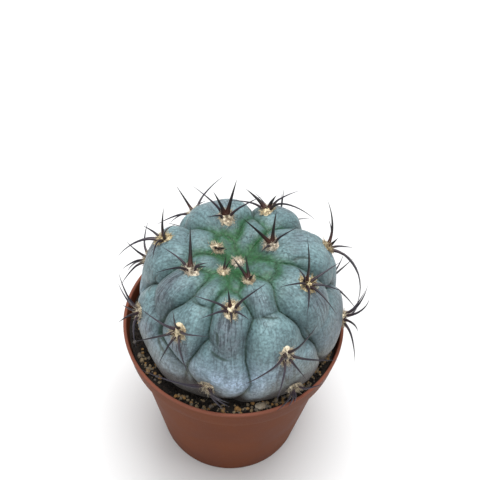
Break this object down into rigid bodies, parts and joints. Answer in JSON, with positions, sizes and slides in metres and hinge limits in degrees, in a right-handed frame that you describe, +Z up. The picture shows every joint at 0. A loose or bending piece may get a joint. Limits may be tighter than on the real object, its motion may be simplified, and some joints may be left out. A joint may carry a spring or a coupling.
{
  "type": "potted round cactus",
  "caption": "Round blue-green cactus with swollen ribs and dark spines in wool pads, growing in soil in a small brown plastic nursery pot.",
  "frame": {"origin": "middle of the pot's underside, on the surface that the pot stands on", "axes": "+Z up along the pot's axis, -Y towards the viewer who sees the front of the plant, +X to that viewer's right"},
  "size_m": [0.0917, 0.1039, 0.1275],
  "materials": {
    "pot": "terracotta-brown moulded plastic with a soft satin shine",
    "soil": "dark crumbly peat with tan and grey mineral grains",
    "stone": "rough pale pumice",
    "skin": "waxy blue-grey bloom over green skin, greener in the furrows of the crown",
    "wool": "short cream plant wool",
    "spines": "hard near-black horn with a satin shine, red-brown at the roots"
  },
  "bodies": {
    "root": {"pot": "pot", "soil": "soil", "pale_stone": "stone", "cactus_body": "skin", "crown_tuft": "wool", "wool_01": "wool", "spines_01": "spines", "wool_02": "wool", "spines_02": "spines", "wool_03": "wool", "spines_03": "spines", "wool_04": "wool", "spines_04": "spines", "wool_05": "wool", "spines_05": "spines", "wool_06": "wool", "spines_06": "spines", "wool_07": "wool", "spines_07": "spines", "wool_08": "wool", "spines_08": "spines", "wool_09": "wool", "spines_09": "spines", "wool_10": "wool", "spines_10": "spines", "wool_11": "wool", "spines_11": "spines", "wool_12": "wool", "spines_12": "spines", "wool_13": "wool", "spines_13": "spines", "wool_14": "wool", "spines_14": "spines", "wool_15": "wool", "spines_15": "spines", "wool_16": "wool", "spines_16": "spines", "wool_17": "wool", "spines_17": "spines", "wool_18": "wool", "spines_18": "spines", "wool_19": "wool", "spines_19": "spines", "wool_20": "wool", "spines_20": "spines", "wool_21": "wool", "spines_21": "spines", "wool_22": "wool", "spines_22": "spines"}
  },
  "joints": []
}
